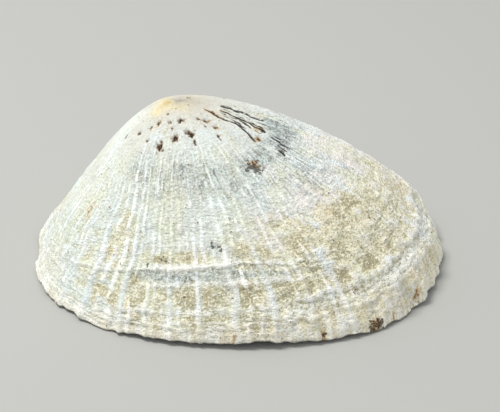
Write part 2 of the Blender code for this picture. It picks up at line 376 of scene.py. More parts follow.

# %% [markdown]
# ## Furrows
#
# Beside the top the sea has opened the joints between the layers, and long thin furrows run down
# there. They cross and fork, so they aren't repeated by a rule: each is given as a run from one
# place to another, made crooked by a random field and crumbled away in spots.

# %% Furrows
# Each furrow: angle and share at its top, the same at its bottom, half width in mm, strength.
FURROWS = (
    (362, 0.150, 358, 0.270, 0.32, 1.0), (357, 0.255, 360, 0.325, 0.25, 1.0),
    (366, 0.150, 366, 0.210, 0.13, 0.6), (344, 0.155, 343, 0.345, 0.26, 1.0),
    (341, 0.215, 336, 0.300, 0.22, 0.95), (336, 0.290, 337, 0.330, 0.19, 0.9),
    (348, 0.200, 346, 0.260, 0.13, 0.7), (326, 0.105, 324, 0.215, 0.25, 0.60),
    (323, 0.178, 331, 0.265, 0.22, 1.0), (330, 0.222, 324, 0.335, 0.25, 1.0),
    (334, 0.200, 331, 0.280, 0.19, 0.9), (339, 0.190, 338, 0.265, 0.14, 0.7),
    (352, 0.230, 351, 0.300, 0.13, 0.6),
    (352, 0.160, 350, 0.235, 0.15, 0.9), (338, 0.160, 336, 0.220, 0.16, 0.9),
    (333, 0.170, 334, 0.220, 0.15, 0.85), (347, 0.250, 346, 0.330, 0.15, 0.9),
    (351, 0.285, 353, 0.350, 0.16, 0.9),
    (340, 0.35, 336, 0.435, 0.23, 1.0), (344, 0.36, 341, 0.425, 0.19, 0.9),
    (335, 0.38, 331, 0.440, 0.23, 0.9), (329, 0.40, 325, 0.455, 0.17, 0.8),
    (350, 0.38, 348, 0.430, 0.17, 0.7), (371, 0.26, 373, 0.420, 0.13, 0.5),
    (364, 0.35, 365, 0.470, 0.13, 0.5), (375, 0.30, 379, 0.430, 0.13, 0.5),
    (409, 0.20, 412, 0.330, 0.23, 0.7), (424, 0.24, 421, 0.360, 0.23, 0.7),
    (470, 0.22, 474, 0.300, 0.19, 0.6),
)
FURROW_DEPTH = 0.26

furrows = np.zeros_like(share)
wander = 1.6 * grain(angle, share, 24, 34, 12) + 1.3 * grain(angle, share, 60, 70, 13)
crumbled = smooth(-1.0, -0.3, grain(angle, share, 160, 70, 23))
for top_angle, top_share, end_angle, end_share, half_width, strength in FURROWS:
    part_way = np.clip((share - top_share) / (end_share - top_share), 0, 1)
    middle = top_angle + (end_angle - top_angle) * part_way + wander
    beside = np.radians(turned(angle, middle)) * share * spoke / half_width
    ends = smooth(top_share - 0.01, top_share + 0.02, share)
    ends = ends * (1 - smooth(end_share - 0.03, end_share + 0.01, share))
    furrows = np.maximum(furrows, strength * np.exp(-(beside**2)) * ends * crumbled)
print(len(FURROWS), "furrows")

# %% [markdown]
# ## Swellings, granules and lumps
#
# Old shell isn't even. A few broad swellings and hollows come first. Where the shell is young and
# sandy, granules and lumps make it feel like sandpaper, except in a calm belt low on the hind
# flank, and single vertices are moved a little, at random, for the finest crumb.

# %% Swellings, granules and lumps
# Each patch: angle, line or share, half size in angle, half size in line or share, strength.
SWELLINGS = (
    (345, 0.62, 26, 0.16, 0.30), (318, 0.34, 16, 0.08, -0.25), (200, 0.50, 18, 0.14, 0.25),
    (90, 0.55, 30, 0.20, 0.25), (140, 0.70, 22, 0.15, -0.20), (40, 0.75, 20, 0.14, 0.20),
)
SANDY_PARTS = (
    (330, 0.78, 55, 0.26, 1.0), (20, 0.72, 50, 0.26, 0.8), (272, 0.86, 30, 0.13, 0.6),
    (110, 0.85, 45, 0.14, 0.6),
)
CALM_BELT = ((332, 0.922, 26, 0.020, 1.0), (354, 0.935, 16, 0.026, 0.8))

swellings = patches(angle, line, SWELLINGS)
sandy = np.clip(patches(angle, line, SANDY_PARTS), 0, 1)
belt = patches(angle, share, CALM_BELT)
granules = grain(angle, line, 230, 130, 14) + 0.8 * grain(angle, line, 150, 70, 15)
granules = granules * (0.032 + 0.048 * sandy) * smooth(0.25, 0.45, line) * (1 - 0.7 * belt)
lumps = 0.09 * grain(angle, line, 40, 22, 16) * (0.35 + sandy) * smooth(0.3, 0.6, line)
lumps = lumps + 0.20 * grain(angle, line, 92, 30, 30) * sandy * smooth(0.7, 0.96, line)
lumps = lumps + 0.24 * grain(angle, line, 64, 14, 32) * hind * smooth(0.88, 0.98, line)
fine_lumps = 0.08 * grain(angle, line, 150, 60, 31) * (0.4 + 0.6 * sandy)
lumps = lumps + fine_lumps * smooth(0.4, 0.9, line)
crumb = np.random.default_rng(24).normal(0, 1, np.broadcast_shapes(angle.shape, line.shape))
crumb = crumb * (0.008 + 0.008 * sandy) * smooth(0.10, 0.40, line)
print("lumps up to", round(float(lumps.max()), 2), "mm high")

# %% [markdown]
# ## The outside
#
# All heights are added and raised along the normals of the plain cone. A Displace modifier could
# do the same from a vertex group, but the heights are at hand here as one array. The rim is also
# chipped inwards and nibbled by random fields.

# %% Raise the relief
fine = ribs + riblets + ledges + faint + lips + granules + lumps - FURROW_DEPTH * furrows
relief = fine + swellings + pits + crumb + 0.05 * grain(angle, line, 24, 12, 17)
outside = plain_outside(angle, share) + outward(angle, share) * relief[..., None]
nibble = 0.22 + 0.16 * np.clip(sandy[-1:], 0, 1)
nibble = nibble * (0.5 + 0.5 * grain(angle, 0 * angle, 150, 1, 18))
nibble = nibble + 0.10 * grain(angle, 0 * angle, 44, 1, 19)
chip = (bumps(angle, RIM_CHIPS) + nibble * smooth(0.93, 1.0, line)) * share**6
across_x, across_y = inward(angle)
outside[..., 0] += across_x * chip
outside[..., 1] += across_y * chip
print("relief from", round(float(relief.min()), 2), "to", round(float(relief.max()), 2), "mm")

# %% [markdown]
# ## The rim and the hollow
#
# In section the rim is a blunt edge: it turns under, stands on a narrow foot, and climbs to the
# lip of the hollow. The inside is smooth, as the limpet polished it. Only the muscle that held
# the limpet to its roof left a scar, a horseshoe that is open towards the head.

# %% Edge and inside
# the rim in section, in mm: how far in from the outside, and how high above the foot
SECTION_INSET = (0.0, -0.13, -0.20, 0.05, 1.15, 1.75)
SECTION_HEIGHT = (1.0, 0.62, 0.22, 0.0, 0.0, 0.80)
SCAR_AT, SCAR_HALF, SCAR_GAP, SCAR_DEPTH = 0.52, 0.075, 32.0, 0.07

along_section = np.linspace(0, 1, EDGE_ROWS + 1)[1:, None]
stations = np.linspace(0, 1, len(SECTION_INSET))
inset = np.interp(along_section, stations, SECTION_INSET)
height = np.interp(along_section, stations, SECTION_HEIGHT)
last_ring = outside[-1:]
lift = rim_lift(angle)
touch = 0.06 * np.maximum(grain(angle, along_section, 190, 4, 20), 0)
rough_edge = 0.16 * grain(angle, along_section, 110, 6, 28)
rough_edge = rough_edge + 0.08 * grain(angle, along_section, 400, 9, 29)
rough_edge = rough_edge * smooth(0.0, 0.1, along_section) * (1 - smooth(0.5, 0.8, along_section))
inset = inset + 0.5 * np.abs(rough_edge) + 0.5 * rough_edge
edge = np.stack([
    last_ring[..., 0] + across_x * inset,
    last_ring[..., 1] + across_y * inset,
    lift + touch + np.minimum(height, last_ring[..., 2] - lift - 0.02 * along_section),
], axis=-1)

inner = np.linspace(1, 0, INSIDE_ROWS + 1)[:-1, None]
inner_x = TOP_X + (rim_x + across_x * LIP_INSET - TOP_X) * inner
inner_y = (rim_y + across_y * LIP_INSET) * inner
scar = np.exp(-(((inner - SCAR_AT) / SCAR_HALF) ** 4))
scar = scar * smooth(SCAR_GAP * 0.7, SCAR_GAP * 1.3, np.abs(turned(angle, 180)))
inner_z = flank(angle, inner, LIP_HEIGHT, HEIGHT - ROOF_THICKNESS) + lift * inner**6
inner_z = inner_z + SCAR_DEPTH * scar + 0.10 * grain(angle, inner, 14, 6, 21) * (1 - inner)
scallop = 0.10 * (np.cos(np.pi * phase[-1:]) ** 2 - 0.5) * smooth(0.7, 1.0, inner)
inner_z = inner_z + scallop
inside = np.stack(np.broadcast_arrays(inner_x, inner_y, inner_z), axis=-1)

rings = np.concatenate([outside, edge, inside])
top_height, roof_height = outside[0, :, 2].mean() + 0.01, inside[-1, :, 2].mean() + 0.02
poles = np.array([[TOP_X, 0, top_height], [TOP_X, 0, roof_height]])
print("rings", rings.shape[0], "lowest", round(float(rings[..., 2].min()), 3), "mm")

# %% [markdown]
# ## Masks from the relief
#
# The finish needs to know where it is, so each vertex carries a few numbers. Most of them come
# straight from the relief. Dirt gathers where the surface is lower than its surroundings: the
# heights are averaged over a small window, and the difference is the *dip*. A bake could find the
# same, but would need a picture, and the numbers are here already.

# %% Masks from the relief
DIP_WINDOW, FULL_DIP = (5, 6), 0.10
# bands of painted shade, with dirt under the strong ledges: strength under each strong ledge, distance
# below the line, half width
UNDER_STRENGTHS = (1.0, 0.0, 0.5, 0.3)
UNDER_DISTANCE, UNDER_HALF = 0.011, 0.0060
SHADE_DISTANCE, SHADE_HALF = 0.010, 0.0050


def window_mean(field, rows, columns):
    """Mean of a field over a small window, closed round the shell and mirrored at its ends."""
    padded = np.pad(field, ((rows, rows), (0, 0)), mode="reflect")
    padded = np.pad(padded, ((0, 0), (columns, columns)), mode="wrap")
    total = np.pad(padded.cumsum(0).cumsum(1), ((1, 0), (1, 0)))
    high, wide = 2 * rows + 1, 2 * columns + 1
    block = total[high:, wide:] - total[:-high, wide:] - total[high:, :-wide]
    return (block + total[:-high, :-wide]) / (high * wide)


white_ribs = bell(angle, 226, 20, 4)
crest_share = smooth(0.62, 0.82, line) + smooth(0.24, 0.42, line) * white_ribs
# where painted shade, with some dirt, lies just under each strong ledge
under = sum(
    strength * lip(at + UNDER_DISTANCE, UNDER_HALF)
    for (at, step), strength in zip(STRONG_LEDGES, UNDER_STRENGTHS)
)
# where painted shade lies: a thin line just below each faint growth line
shade = sum(
    weight * lip(at + SHADE_DISTANCE, SHADE_HALF) for at, weight in zip(faint_at, faint_weight)
)
masks = {
    "dip": np.clip((window_mean(fine, *DIP_WINDOW) - fine) / FULL_DIP, -1, 1),
    "pit": pit_mask,
    "furrow": furrows,
    "sandy": sandy,
    "crest": crest**12 * each_rib[nearest_rib] * (1 - 0.75 * hind) * (1 - 0.5 * head) * crest_share,
    "riblet": riblet**3.2 * riblet_strength * smooth(0.17, 0.33, line),
    "riblet_band": smooth(0.22, 0.38, line) * (1 - 0.6 * hind),
    "lip": np.clip(1.1 * strong_lips + faint_lips, 0, 1.2) * (0.6 + 0.4 * riblet),
    "shade": shade * patchy,
    "under": under * torn * ledge_share * (0.6 + 0.6 * (1 - crest)) * (1 - 0.7 * hind),
}
print("masks from the relief:", ", ".join(masks))

# %% [markdown]
# ## Places of the stains
#
# Stains follow no rule, so each is a soft patch given in the two coordinates, where it lies on
# the real shell. The far side has a few of the same kinds. Painting them would tie them to one
# mesh, and these stay in place whatever the grid is.

# %% Places of the stains
# Each patch: angle, share, half size in angle, half size in share, strength.
STAINS = {
    # pale blue-grey shell, without stain
    "pale": (
        (300.5, 0.830, 2.2, 0.035, 1.0), (297.5, 0.785, 2.0, 0.030, 0.8), (279.5, 0.740, 1.5, 0.060, 0.7),
        (270.0, 0.800, 1.6, 0.050, 0.6), (262.5, 0.840, 1.0, 0.060, 0.8), (279.5, 0.880, 1.2, 0.040, 0.8),
        (270.0, 0.880, 1.3, 0.040, 0.7), (239.0, 0.880, 1.3, 0.060, 0.8), (247.0, 0.940, 1.6, 0.030, 0.7),
        (232.0, 0.960, 2.0, 0.020, 0.7), (345.0, 0.560, 9.0, 0.060, 0.5), (306.0, 0.560, 10.0, 0.050, 0.5),
        *CALM_BELT,
    ),
    # fine dark lines that run down the slope
    "scratch": (
        (322, 0.52, 13, 0.10, 1.0), (340, 0.47, 14, 0.10, 0.9), (258, 0.44, 26, 0.11, 1.0),
        (304, 0.50, 12, 0.09, 0.6), (236, 0.46, 12, 0.10, 0.5), (355, 0.60, 12, 0.12, 0.5),
        (80, 0.45, 40, 0.12, 0.6),
    ),
    # beige stain in the young shell near the rim
    "gold": (
        (318, 0.80, 40, 0.16, 0.75), (268, 0.870, 20, 0.045, 0.70), (262, 0.95, 30, 0.040, 0.45),
        (232, 0.90, 18, 0.06, 0.26), (229, 0.73, 4, 0.08, 0.50), (216, 0.84, 3, 0.04, 0.40),
        (218, 0.73, 12, 0.13, 0.30), (0, 0.80, 42, 0.13, 0.46), (232, 0.66, 8, 0.10, 0.35),
        (241, 0.86, 5, 0.05, 0.60), (256, 0.745, 18, 0.026, 0.50), (293, 0.80, 9, 0.10, 0.35),
        (316, 0.74, 10, 0.06, 0.40), (300, 0.66, 8, 0.05, 0.40), (340, 0.70, 12, 0.05, 0.30),
        (60, 0.85, 45, 0.12, 0.6), (120, 0.80, 40, 0.16, 0.6), (160, 0.88, 26, 0.08, 0.3),
    ),
    # the deepest beige, in cells between two ribs and two growth lines
    "cell": (
        (259.0, 0.881, 3.0, 0.034, 1.0), (266.3, 0.881, 2.8, 0.036, 0.9), (274.5, 0.880, 3.2, 0.038, 1.1),
        (284.7, 0.880, 3.6, 0.034, 1.1), (241.6, 0.838, 1.3, 0.026, 1.0), (242.5, 0.915, 1.2, 0.018, 1.0),
        (245.0, 0.890, 1.1, 0.028, 1.0), (252.0, 0.886, 1.6, 0.022, 0.5), (259.0, 0.966, 1.7, 0.020, 2.0),
        (265.6, 0.964, 2.0, 0.018, 1.9), (272.8, 0.964, 2.2, 0.020, 2.0), (277.0, 0.965, 1.4, 0.018, 1.8),
        (250.5, 0.976, 1.6, 0.016, 1.8), (244.0, 0.980, 1.6, 0.016, 1.7), (282.0, 0.736, 4.0, 0.035, 0.4),
        (296.0, 0.760, 3.0, 0.050, 0.6), (260.5, 0.751, 3.0, 0.015, 0.5), (250.0, 0.756, 3.2, 0.014, 0.8),
        (275.5, 0.711, 3.5, 0.030, 0.5), (275.5, 0.774, 3.0, 0.014, 0.7), (296.0, 0.811, 3.0, 0.020, 0.7),
        (291.0, 0.870, 2.5, 0.030, 0.6), (229.5, 0.900, 3.0, 0.025, 0.6), (235.0, 0.915, 2.0, 0.025, 0.5),
        (304.0, 0.860, 3.0, 0.030, 0.5), (309.0, 0.790, 5.0, 0.040, 0.4), (316.0, 0.855, 4.0, 0.025, 0.6),
        (331.0, 0.670, 5.0, 0.040, 0.4), (296.0, 0.940, 3.0, 0.016, 0.5), (312.0, 0.940, 3.0, 0.016, 0.5),
    ),
    # blue-grey bands
    "slate": (
        (268, 0.42, 26, 0.085, 0.72), (290, 0.50, 14, 0.060, 0.35), (308, 0.400, 16, 0.060, 0.85),
        (337, 0.390, 15, 0.075, 0.9), (357, 0.380, 11, 0.080, 0.6), (232, 0.42, 12, 0.08, 0.50),
        (252, 0.812, 13, 0.026, 1.0), (269, 0.795, 6, 0.03, 0.8), (280, 0.81, 8, 0.020, 0.6),
        (310, 0.925, 14, 0.020, 0.35), (335, 0.93, 14, 0.03, 0.35), (290, 0.55, 16, 0.05, 0.15),
        (268.5, 0.70, 2.4, 0.024, 0.7), (222, 0.47, 9, 0.10, 0.35), (292, 0.81, 16, 0.02, 0.4),
        (318, 0.60, 14, 0.05, 0.30), (0, 0.30, 18, 0.10, 0.40), (30, 0.42, 30, 0.07, 0.6),
        (95, 0.50, 30, 0.08, 0.5), (150, 0.60, 24, 0.07, 0.4),
    ),
    # the old cap, stained yellow
    "cap": (
        (186, 0.07, 18, 0.040, 1.2), (202, 0.14, 20, 0.065, 0.8), (240, 0.08, 40, 0.05, 0.35),
        (300, 0.03, 90, 0.07, 0.35), (150, 0.13, 30, 0.07, 0.6), (60, 0.10, 50, 0.06, 0.3),
    ),
    # rust in a few places near the top and by the rim
    "rust": (
        (325.5, 0.125, 4.5, 0.030, 1.3), (322.0, 0.170, 4.0, 0.030, 1.1), (344, 0.172, 5, 0.018, 0.8),
        (342, 0.300, 7, 0.018, 1.0), (363, 0.292, 6, 0.030, 0.55), (329, 0.328, 6, 0.012, 0.85),
        (296, 0.174, 7, 0.014, 0.8), (300, 0.216, 4, 0.012, 0.8), (297, 0.258, 3, 0.030, 0.4),
        (304, 0.404, 4, 0.014, 1.0), (279, 0.345, 2.5, 0.016, 0.5), (284, 0.175, 5, 0.020, 0.4),
        (206.5, 0.668, 3.0, 0.050, 0.42), (293, 0.61, 1.4, 0.018, 0.6), (253, 0.262, 5, 0.02, 0.6),
        (226, 0.215, 5, 0.05, 0.35), (262, 0.435, 1.4, 0.02, 0.4), (307, 1.0, 2.2, 0.014, 1.2),
        (314, 1.0, 1.5, 0.012, 0.7), (327, 0.992, 2, 0.014, 0.9), (331, 0.955, 3, 0.030, 0.45),
        (343, 0.93, 3, 0.05, 0.30), (290.5, 1.0, 0.8, 0.01, 1.0), (269, 1.0, 0.8, 0.012, 0.6),
        (80, 0.30, 4, 0.03, 0.6), (40, 0.20, 6, 0.02, 0.6), (130, 0.95, 3, 0.02, 0.6),
    ),
    # places where dark grains lie close
    "soot": (
        (329.5, 0.328, 2.0, 0.007, 2.2), (341.5, 0.323, 2.0, 0.006, 1.8), (307, 0.399, 2.6, 0.007, 2.2),
        (303, 0.432, 3.6, 0.018, 2.4), (300.5, 0.412, 2.0, 0.014, 1.2), (297, 0.420, 3, 0.016, 1.1),
        (292.5, 0.434, 3, 0.014, 1.3), (305.5, 1.0, 1.3, 0.011, 2.6), (308.5, 1.0, 1.2, 0.013, 2.4),
        (290.5, 1.0, 0.8, 0.010, 1.6), (252, 0.755, 3.6, 0.013, 1.5), (246, 0.770, 2, 0.012, 1.0),
        (257.5, 0.813, 2.6, 0.020, 1.1), (241, 0.836, 2.0, 0.028, 0.8), (244.5, 0.893, 1.3, 0.022, 0.7),
        (268.5, 0.698, 1.6, 0.024, 1.25), (270, 0.712, 1.0, 0.016, 1.2), (262, 0.420, 3, 0.040, 0.8),
        (258, 0.435, 2, 0.030, 0.7), (265.5, 0.672, 3, 0.020, 0.6), (274.5, 0.751, 3, 0.014, 0.6),
        (290, 0.872, 4, 0.012, 0.8), (260, 0.876, 5, 0.010, 0.5), (304, 0.410, 5, 0.035, 0.8),
        (336, 0.400, 9, 0.050, 0.6), (296, 0.430, 8, 0.020, 0.5), (283, 0.945, 2, 0.010, 0.5),
        (320, 0.80, 20, 0.06, 0.25), (70, 0.72, 6, 0.03, 0.7), (120, 0.66, 5, 0.03, 0.6),
        (20, 0.60, 5, 0.02, 0.5),
    ),
}
SQUARE_EDGED = "cell"

for name, table in STAINS.items():
    masks[name] = patches(angle, share, table, 4 if name == SQUARE_EDGED else 2)
    print(len(table), "patches of", name)

# %% [markdown]
# ## From grid to mesh
#
# Neighbouring rows and columns make four-sided faces, and a fan of triangles closes each pole.
# The last column joins the first one, so the surface has no seam. A cone primitive could be cut
# and sculpted instead, but a grid keeps each vertex on its spoke and its growth line.

# %% Build the shell
def closed_grid_faces(rows, columns):
    """Faces of a closed grid of rows by columns with two poles, wound to face outwards."""
    row, column = np.meshgrid(np.arange(rows - 1), np.arange(columns), indexing="ij")
    after = (column + 1) % columns
    here, beside = row * columns + column, row * columns + after
    quads = np.stack([here, here + columns, beside + columns, beside], axis=-1).reshape(-1, 4)
    column = np.arange(columns)
    after = (column + 1) % columns
    top, bottom = np.full(columns, rows * columns), np.full(columns, rows * columns + 1)
    last = (rows - 1) * columns
    fans = np.concatenate([
        np.stack([top, column, after], axis=-1),
        np.stack([bottom, last + after, last + column], axis=-1),
    ])
    return quads, fans


row_total = rings.shape[0]
quads, fans = closed_grid_faces(row_total, COLUMNS)
points = np.concatenate([rings.reshape(-1, 3), poles]) / 1000
mesh = bpy.data.meshes.new("shell_surface")
mesh.from_pydata(points.tolist(), [], quads.tolist() + fans.tolist())
print("faces", len(quads), "and", len(fans), "in the fans")

# %% [markdown]
# ## The growth map
#
# The UV map follows the growth: U goes round the shell, and V runs down the outside, under the
# rim and up the inside. Four-sided faces across the start of the turn get a U past 1, so that none
# of them runs backwards over the whole map, and each fan's tip takes the U of its own side.

# %% The growth map
EDGE_V = 0.1

v_rows = np.concatenate([
    np.broadcast_to(line, share.shape),
    np.broadcast_to(1 + EDGE_V * along_section, (EDGE_ROWS, COLUMNS)),
    np.broadcast_to(1 + EDGE_V + (1 - inner), (INSIDE_ROWS, COLUMNS)),
])
u_columns = (angle / 360).ravel()
corner = np.empty(len(mesh.loops), dtype=np.int64)
mesh.loops.foreach_get("vertex_index", corner)
corner_column, corner_row = corner % COLUMNS, corner // COLUMNS
pole_corner = corner >= row_total * COLUMNS
u = u_columns[corner_column]
v = np.where(pole_corner, 0, v_rows[np.minimum(corner_row, row_total - 1), corner_column])
quad_u = u[: len(quads) * 4].reshape(-1, 4)
seam = quad_u.max(axis=1) - quad_u.min(axis=1) > 0.5
quad_u[seam] = np.where(quad_u[seam] < 0.5, quad_u[seam] + 1, quad_u[seam])
fan_u = u[len(quads) * 4 :].reshape(-1, 3)
v[len(quads) * 4 :].reshape(-1, 3)[COLUMNS:, 0] = 2 + EDGE_V
fan_u[:, 0] = fan_u[:, 1]
uv_map = mesh.uv_layers.new(name="growth")
uv_map.data.foreach_set("uv", np.stack([u, v], axis=-1).ravel())
print("four-sided faces across the start of the turn:", int(seam.sum()))

# %% [markdown]
# ## Numbers on every vertex
#
# The finish reads the masks as attributes. It also needs the growth coordinates as a vector that
# goes round without a jump, because a noise on the UV map would show a seam: the cosine and the
# sine of the bent angle, and the growth line.

# %% Numbers on every vertex
def on_every_vertex(outside_rows, edge_value=0.0, inside_rows=None):
    """One number for each vertex: rows of the outside, the rim's edge, which fades from the last
    of them to a value, rows of the inside, and the two poles, which take the means of their
    nearest rows."""
    outside_rows = np.broadcast_to(outside_rows, share.shape)
    fade = 1 - smooth(0.35, 0.8, along_section)
    edge_rows = outside_rows[-1:] * fade + edge_value * (1 - fade)
    if inside_rows is None:
        inside_rows = np.full((INSIDE_ROWS, COLUMNS), edge_value)
    inside_rows = np.broadcast_to(inside_rows, (INSIDE_ROWS, COLUMNS))
    ends = [outside_rows[0].mean(), inside_rows[-1].mean()]
    return np.concatenate([outside_rows.ravel(), edge_rows.ravel(), inside_rows.ravel(), ends])


around = np.radians(np.broadcast_to(bent, share.shape))
spokes = np.stack([
    on_every_vertex(np.cos(around), 0, np.cos(around[-1:])),
    on_every_vertex(np.sin(around), 0, np.sin(around[-1:])),
    on_every_vertex(wavy, 1, inner),
], axis=-1)
spokes_layer = mesh.attributes.new("spokes", "FLOAT_VECTOR", "POINT")
spokes_layer.data.foreach_set("vector", spokes.ravel())
on_vertices = {name: on_every_vertex(field) for name, field in masks.items()}
on_vertices["edge"] = on_every_vertex(smooth(0.985, 1.0, line))
on_vertices["inside"] = on_every_vertex(0.0, 1.0)
on_vertices["scar"] = on_every_vertex(0.0, 0.0, scar)
for name, values in on_vertices.items():
    mesh.attributes.new(name, "FLOAT", "POINT").data.foreach_set("value", values)
mesh.shade_smooth()
mesh.validate()

shell = bpy.data.objects.new("shell_surface", mesh)
bpy.context.scene.collection.objects.link(shell)
triangles = sum(len(p.vertices) - 2 for p in mesh.polygons)
print("triangles", triangles, "vertices", len(mesh.vertices))

# %% [markdown]
# ## A small language for finishes
#
# A finish is a graph of nodes. Written as sums, it reads like arithmetic: `Wire` wraps a socket
# and turns + - and * into Math nodes, and `Finish.node` makes any other node. `Finish.coat` lays
# one more colour over what is there, as a painter glazes.

# %% Wires and finishes
class Wire:
    """One output socket, for use in sums with other wires and with numbers."""

    def __init__(self, finish, socket):
        self.finish, self.socket = finish, socket

    def maths(self, operation, a, b):
        """A Math node on two values, each a wire or a number."""
        return self.finish.node("ShaderNodeMath", {"operation": operation}, {0: a, 1: b})

    def __add__(self, other):
        return self.maths("ADD", self, other)

    def __sub__(self, other):
        return self.maths("SUBTRACT", self, other)

    def __rsub__(self, other):
        return self.maths("SUBTRACT", other, self)

    def __mul__(self, other):
        return self.maths("MULTIPLY", self, other)

    __radd__, __rmul__ = __add__, __mul__


class Finish:
    """A material whose nodes are made by calls that return wires."""

    def __init__(self, name):
        self.material = bpy.data.materials.new(name)
        self.material.use_nodes = True
        self.tree = self.material.node_tree
        self.surface = self.tree.nodes["Principled BSDF"]
        self.colour = (1.0, 1.0, 1.0, 1.0)

    def node(self, kind, settings=None, inputs=None, output=0):
        """A node of a kind, with its settings made first, then its inputs set or linked."""
        made = self.tree.nodes.new(kind)
        for name, value in (settings or {}).items():
            setattr(made, name, value)
        for name, value in (inputs or {}).items():
            self.feed(made.inputs[name], value)
        return Wire(self, made.outputs[output])

    def feed(self, socket, value):
        """Links a wire to a socket, or sets the socket to a plain value."""
        if isinstance(value, Wire):
            self.tree.links.new(value.socket, socket)
        else:
            socket.default_value = value

    def mask(self, name):
        """A number that the mesh carries on each vertex."""
        return self.node("ShaderNodeAttribute", {"attribute_name": name}, output="Fac")

    def stretched(self, vector, factors):
        """A vector times three factors: a pattern is drawn out along the smaller ones."""
        return self.node("ShaderNodeVectorMath", {"operation": "MULTIPLY"}, {0: vector, 1: factors})

    def noise(self, vector, scale=1.0, detail=2.0, roughness=0.5):
        """A noise that swings about a half."""
        inputs = {"Vector": vector, "Scale": scale, "Detail": detail, "Roughness": roughness}
        return self.node("ShaderNodeTexNoise", None, inputs)

    def step(self, value, low, high):
        """Smooth step of a wire, from 0 at low to 1 at high; low may be the larger."""
        inputs = {"Value": value, "From Min": low, "From Max": high}
        return self.node("ShaderNodeMapRange", {"interpolation_type": "SMOOTHSTEP"}, inputs)

    def mix(self, under, over, amount):
        """A colour laid over another by an amount from 0 to 1."""
        return self.node("ShaderNodeMix", {"data_type": "RGBA"}, {0: amount, 6: under, 7: over}, 2)

    def coat(self, shade, amount):
        """Lays a colour, a wire or screen numbers, over the finish so far, by an amount."""
        shade = shade if isinstance(shade, Wire) else srgb(*shade)
        self.colour = self.mix(self.colour, shade, amount)


def srgb(red, green, blue):
    """Screen numbers, 0 to 255, as the linear light that shaders use: a small share of 255 is
    divided by 12.92, and (share + 0.055) / 1.055 is raised to the power of 2.4 for the rest."""
    def linear(value):
        value = value / 255
        return value / 12.92 if value <= 0.04045 else ((value + 0.055) / 1.055) ** 2.4
    return (linear(red), linear(green), linear(blue), 1.0)


# %% [markdown]
# ## The finish of the shell
#
# The finish is laid on as the sea laid it: chalky white first, then beige in the valleys of the
# young shell, blue-grey bands, the yellow cap, rust, and last what is nearly black, in pits and
# furrows. Every layer is broken by noise. Two kinds of noise are used: one in millimetres, which
# is the same all over, and one along the spokes, which is drawn out into streaks.

# %% Noises
chalk = Finish("worn_shell")
place = chalk.node("ShaderNodeTexCoord", None, None, "Object")
spokes_wire = chalk.node("ShaderNodeAttribute", {"attribute_name": "spokes"}, None, "Vector")
line_wire = chalk.node("ShaderNodeSeparateXYZ", None, {0: spokes_wire}, 2)

mottle = chalk.noise(place, 170, 4, 0.6)
clots = chalk.noise(place, 620, 3, 0.65)
crumbs = chalk.noise(place, 2000, 2, 0.7)
grains = chalk.noise(place, 3900, 1, 0.5)
streaks = chalk.noise(chalk.stretched(spokes_wire, (22, 22, 9)), 1, 3, 0.6)
hairs = chalk.noise(chalk.stretched(spokes_wire, (62, 62, 20)), 1, 2, 0.6)
rings_noise = chalk.noise(chalk.stretched(spokes_wire, (6, 6, 120)), 1, 3, 0.6)
flakes = chalk.noise(chalk.stretched(spokes_wire, (24, 24, 100)), 1, 3, 0.65)
blocks = chalk.noise(chalk.stretched(spokes_wire, (9, 9, 17)), 1, 2, 0.5)
tints = chalk.noise(chalk.stretched(spokes_wire, (5, 5, 5)), 1, 3, 0.55)
noises = {
    "mottle": mottle, "clots": clots, "crumbs": crumbs, "streaks": streaks, "hairs": hairs,
    "flakes": flakes, "blocks": blocks, "grains": grains,
}
NOISE_MEAN = 0.5


def broken(value, **weights):
    """A value disturbed by noises: each named noise, less its mean, is added times its weight."""
    for name, weight in weights.items():
        value = value + weight * (noises[name] - NOISE_MEAN)
    return value


dip_wire, sandy_wire = chalk.mask("dip"), chalk.mask("sandy")
crest_wire, riblet_wire = chalk.mask("crest"), chalk.mask("riblet")
lip_wire, inside_wire = chalk.mask("lip"), chalk.mask("inside")

# %% [markdown]
# ### Chalk
#
# Dead shell isn't one white. Cool and warm whites lie in small spots, greenish and bluish ones in
# larger patches, and a grey veil in the valleys, where fine dirt stays. One colour with one noise
# would look like plaster, so each tint is a thin coat of its own over the last. A last grey coat
# dims the upper half: partly the grey of old shell, partly painted shade.

# %% Chalk
warmth = chalk.step(mottle + 0.25 * sandy_wire, 0.40, 0.75)
chalk.colour = chalk.mix(srgb(231, 241, 240), srgb(240, 232, 224), warmth)
tint = broken(tints, blocks=0.5)
chalk.coat((224, 228, 196), chalk.step(tint, 0.49, 0.64) * 0.72)
chalk.coat((214, 227, 232), chalk.step(tint, 0.47, 0.34) * 0.72)
valley = dip_wire * 0.16 - 0.10 * riblet_wire - 0.14 * lip_wire
grey_veil = chalk.step(streaks * 0.4 + hairs * 0.3 + blocks * 0.3 + valley, 0.49, 0.62)
chalk.coat((203, 212, 209), grey_veil * 0.6)
soft_patches = chalk.step(broken(mottle, clots=0.3), 0.40, 0.62)
# painted shade, with some grey of old shell: the upper half is dimmed, most near the top
grey_top_and_painted_shade = chalk.step(line_wire, 0.55, 0.22) * (0.35 + 0.5 * soft_patches)
chalk.coat((211, 212, 202), grey_top_and_painted_shade)

# %% [markdown]
# ### Beige and brown
#
# Near the rim the shell is beige in the cells between two ribs and two growth lines, where dirt
# stays and nothing rubs it off. Masks say where the stain is, noise gives it a ragged edge, and
# the darker brown comes up only where the beige already is.

